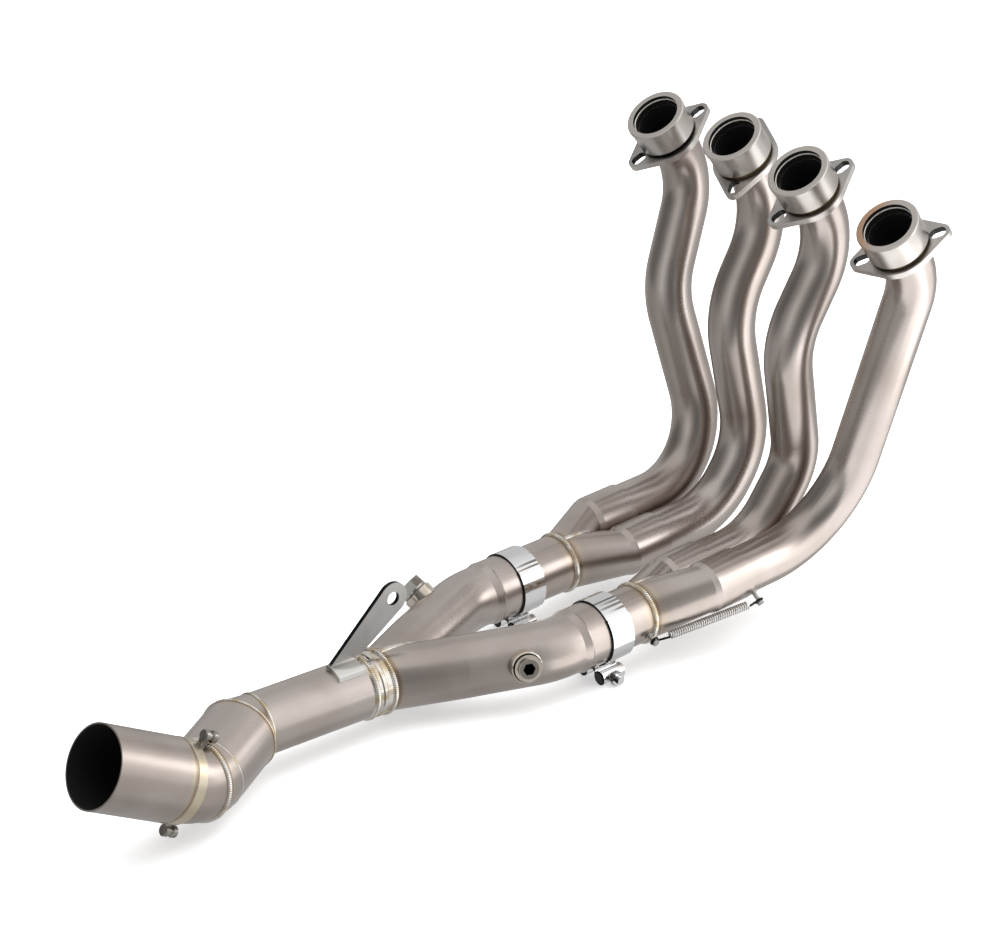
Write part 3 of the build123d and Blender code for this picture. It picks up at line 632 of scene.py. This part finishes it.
# Slip joint springs and posts
# Close-wound wire springs beside the outer slip joints, their blackened hooks held by welded posts.
# The visible coils stand for the plain tube of the solid.
spring_radius, wire_radius, hook_wire = 2.6 * mm, 0.8 * mm, 0.9 * mm
loop_radius, neck_tail, pipe_tail = 3.0 * mm, 14.0 * mm, 11.0 * mm
coil_pitch, points_per_coil = 2.0 * mm, 14
neck_angle, neck_post_back, neck_lift = math.radians(-22.0), 8 * mm, 6.2 * mm
pipe_angle, pipe_post_ahead, pipe_lift = math.radians(-36.0), 4.0 * mm, 8.8 * mm
hook_start, hook_end, hook_set = math.radians(25), math.radians(335), 0.3 * mm
post_pale, post_dull = (0.62, 0.60, 0.57, 1), (0.46, 0.44, 0.42, 1)
wire_pale, wire_dull = (0.74, 0.72, 0.70, 1), (0.60, 0.58, 0.56, 1)
hook_black = (0.02, 0.02, 0.02, 1)
grey_post, shader, place = new_finish("grey_post")
cloud = noise(place, 300.0, 2.0)
colour = clouded(cloud, post_pale, post_dull)
feed(shader, Base_Color=colour, Roughness=0.25 + cloud * 0.1, Metallic=1.0)


def wire(path, guide, radius, sides=8):
    """Round wire: a circle carried square to the path, its zero kept square to a guide direction,
    with both ends drawn to a point."""
    forward = unit(np.gradient(path, axis=0))
    first = unit(np.cross(forward, guide))
    second = np.cross(forward, first)
    turn = np.linspace(0, 2 * math.pi, sides, endpoint=False)[:, None]
    size = np.full(len(path), radius)
    size[[0, -1]] = 0
    circle = first[:, None] * np.cos(turn) + second[:, None] * np.sin(turn)
    return path[:, None] + size[:, None, None] * circle


for n, pair in (("1", "12"), ("4", "34")):
    side, mouth_y, weld_y = pairs[pair]
    half = pair_pitch / 2
    mouth = np.array([side * (pair_x + half * math.cos(pair_roll)), mouth_y,
                      pair_z + half * math.sin(pair_roll)])
    neck_out = np.array([side * math.cos(neck_angle), 0, math.sin(neck_angle)])
    pipe_out = np.array([side * math.cos(pipe_angle), 0, math.sin(pipe_angle)])
    start = neck_point(side, weld_y - neck_post_back) + neck_out * (neck_radius + neck_lift)
    end = mouth - run_dir * pipe_post_ahead + pipe_out * (pipe_radius + pipe_lift)
    pull = unit(end - start)
    length = np.linalg.norm(end - start) - neck_tail - pipe_tail
    middle = start + pull * (neck_tail + length / 2)
    material, shader, place = new_finish(f"spring_wire_{n}")
    cloud = noise(place, 300.0, 2.0)
    hooks = abs(along(place, middle, pull)).between(length / 2, length / 2 + 1 * mm)
    colour = mixed(hooks, clouded(cloud, wire_pale, wire_dull), hook_black)
    feed(shader, Base_Color=colour, Roughness=0.2 + cloud * 0.12, Metallic=1.0)
    across = unit(np.cross(pull, (0, 0, 1)))
    other = np.cross(across, pull)
    turns = round(length / coil_pitch)
    angle = np.linspace(0, 2 * math.pi * turns, turns * points_per_coil)[:, None]
    rise = neck_tail + length * angle / angle[-1]
    coil = start + pull * rise + spring_radius * (across * np.cos(angle) + other * np.sin(angle))
    patches = [(wire(coil, pull, wire_radius), False)]
    for tip, out, inward, tail in ((start, neck_out, pull, neck_tail),
                                   (end, pipe_out, -pull, pipe_tail)):
        flat = unit(inward - out * (inward @ out))
        turn = np.linspace(hook_start, hook_end, 40)[:, None]
        loop = loop_radius * (flat * np.cos(turn) + np.cross(out, flat) * np.sin(turn))
        hook = tip + inward * hook_set + loop
        eye = tip + inward * tail + across * spring_radius
        shank = hook[-1] + (eye - hook[-1]) * np.linspace(0, 1, 12)[1:, None]
        path = np.concatenate([hook, shank])
        patches.append((wire(path, out + across * 0.01, hook_wire), False))
    spring = skin(f"spring_coil_{n}", patches, material)
    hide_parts(f"slip_spring_{n}")
    dress(f"spring_post_neck_{n}", grey_post)
    dress(f"spring_post_pipe_{n}", grey_post)

# Band clamps
# Bright polished bands with rolled ears round two barrels, drawn together by a bolt and nut. Their
# slit edges, which face along the tube, are painted dark as the shadow in the gaps beside them.
band_bright, edge_shadow_dark = (0.80, 0.80, 0.80, 1), (0.05, 0.05, 0.05, 1)
clamp_pieces = ("clamp_band", "clamp_barrel_left", "clamp_barrel_right", "clamp_bolt", "clamp_nut")
material, shader, place = new_finish("bright_band")
# Painted shadow: faces turned along the tube are painted near black.
edge_shadow = abs(part(facing(place), "Y")).between(0.7, 0.95)
colour = mixed(edge_shadow, band_bright, edge_shadow_dark)
feed(shader, Base_Color=colour, Roughness=0.05 + noise(place, 80.0, 2.0) * 0.06, Metallic=1.0)
for pair in pairs:
    for name in clamp_pieces:
        dress(f"{name}_{pair}", material)

# Studio
# A pale floor that glows a little, walls of grey panels that the metal mirrors, and one large soft
# lamp overhead. Small cards near the header put the pale streaks on its pipes.
reach = 6.0
corners = [(x * reach, y * reach, low.z) for x, y in ((-1, -1), (1, -1), (1, 1), (-1, 1))]
floor_mesh = bpy.data.meshes.new("floor")
floor_mesh.from_pydata(corners, [], [(0, 1, 2, 3)])
floor = add_object("floor", floor_mesh)
material, shader, _ = new_finish("pale_floor")
feed(shader, Base_Color=(0.90, 0.90, 0.90, 1), Roughness=0.9,
     Emission_Color=(1, 1, 1, 1), Emission_Strength=0.42)
floor_mesh.materials.append(material)
floor.visible_glossy = False
floor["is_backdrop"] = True

world = bpy.data.worlds.new("studio")
bpy.context.scene.world = world
world.use_nodes = True
world.node_tree.nodes.clear()
ray = Flow(world.node_tree).node("ShaderNodeTexCoord", out="Generated")
height = part(ray, "Z")
front = vector_math("DOT_PRODUCT", ray, (0.766, -0.643, 0), "Value")
right = vector_math("DOT_PRODUCT", ray, (0.643, 0.766, 0), "Value")
bearing = ray.math("ARCTAN2", right, front) / (2 * math.pi) + 0.5


def grey_panels(*stops):
    """Walls all round, as a ramp of greys over the bearing: 0.5 is the camera's side, 0.75 right,
    0 and 1 behind, 0.25 left."""
    greys = [(place, (grey, grey, grey)) for place, grey in stops]
    return bearing.node("ShaderNodeValToRGB", {"stops": greys}, {0: bearing})


low_walls = grey_panels(
    (0.0, 0.20), (0.12, 0.26), (0.20, 0.19), (0.34, 0.26), (0.44, 0.20), (0.50, 0.10),
    (0.55, 0.14), (0.60, 0.28), (0.72, 0.36), (0.80, 0.30), (0.87, 0.24), (0.93, 0.32), (1.0, 0.20))
high_walls = grey_panels(
    (0.0, 0.31), (0.06, 0.31), (0.13, 0.13), (0.20, 0.09), (0.27, 0.11), (0.34, 0.26),
    (0.40, 0.44), (0.45, 0.22), (0.50, 0.09), (0.55, 0.09), (0.60, 0.24), (0.66, 0.58),
    (0.83, 0.62), (0.88, 0.38), (1.0, 0.31))
ceiling, pit = (0.41, 0.41, 0.41, 1), (0.24, 0.24, 0.24, 1)
rear_step = bearing.between(0.76, 0.85) * bearing.between(1.0, 0.92) * 0.2
shade = mixed((height - rear_step).between(-0.12, 0.08), low_walls, high_walls)
shade = mixed(height.between(0.70, 0.90), shade, ceiling)
shade = mixed(height.between(-0.70, -0.88), shade, pit)
glow = ray.node("ShaderNodeBackground", None, {"Color": shade, "Strength": 2.0})
end = world.node_tree.nodes.new("ShaderNodeOutputWorld")
world.node_tree.links.new(glow.socket, end.inputs[0])

aim = (0.0, 0.08, 0.02)


def softbox(name, place, size, watts, towards=aim, mirrored=True):
    """Oblong area lamp at a place, turned to face a point. One that isn't mirrored lights the scene
    without showing in the metal."""
    lamp = bpy.data.lights.new(name, "AREA")
    lamp.shape = "RECTANGLE"
    lamp.size, lamp.size_y = size
    lamp.energy = watts
    box = add_object(name, lamp)
    box.location = place
    box.rotation_mode = "QUATERNION"
    box.rotation_quaternion = (Vector(towards) - Vector(place)).to_track_quat("-Z", "Y")
    box.visible_camera = False
    box.visible_glossy = mirrored
    box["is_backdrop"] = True


softbox("top_lamp", (-0.2, 0.4, 2.6), (4.0, 4.0), 130, mirrored=False)
softbox("floor_card", (0.36, 0.38, low.z + 2 * mm), (0.50, 0.56), 0.84, towards=(0.36, 0.38, 1.0))
softbox("right_card", (0.40, 0.44, -0.01), (0.30, 0.16), 0.14, towards=(0.1, 0.44, -0.01))
softbox("front_card", (0.24, 0.56, 0.06), (0.24, 0.24), 0.18, towards=(0.0, 0.50, 0.06))
softbox("high_card", (0.48, 0.60, 0.24), (0.28, 0.26), 0.30)
softbox("rear_card", (0.58, 1.11, 0.28), (0.45, 0.22), 0.22)

# Camera
# The photograph's viewpoint: from the right rear, a little above. Its lens is given by the focal
# length in pixels of a picture 1000 wide.
azimuth, elevation = math.radians(50), math.radians(25)
target = np.array([-62.8, 155.1, 33.8]) * mm
distance = 2191.8 * mm
focal_pixels, picture_width = 2856, 1000
back = np.array([math.sin(azimuth) * math.cos(elevation), -math.cos(azimuth) * math.cos(elevation),
                 math.sin(elevation)])
camera = bpy.data.cameras.new("camera")
camera.sensor_width = 36.0
camera.lens = camera.sensor_width * focal_pixels / picture_width
camera.clip_start, camera.clip_end = 0.05, 60
viewer = add_object("camera", camera)
viewer.location = target + back * distance
viewer.rotation_euler = (math.pi / 2 - elevation, 0, azimuth)
bpy.context.scene.camera = viewer
bpy.context.scene.view_settings.view_transform = "Standard"

low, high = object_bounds()
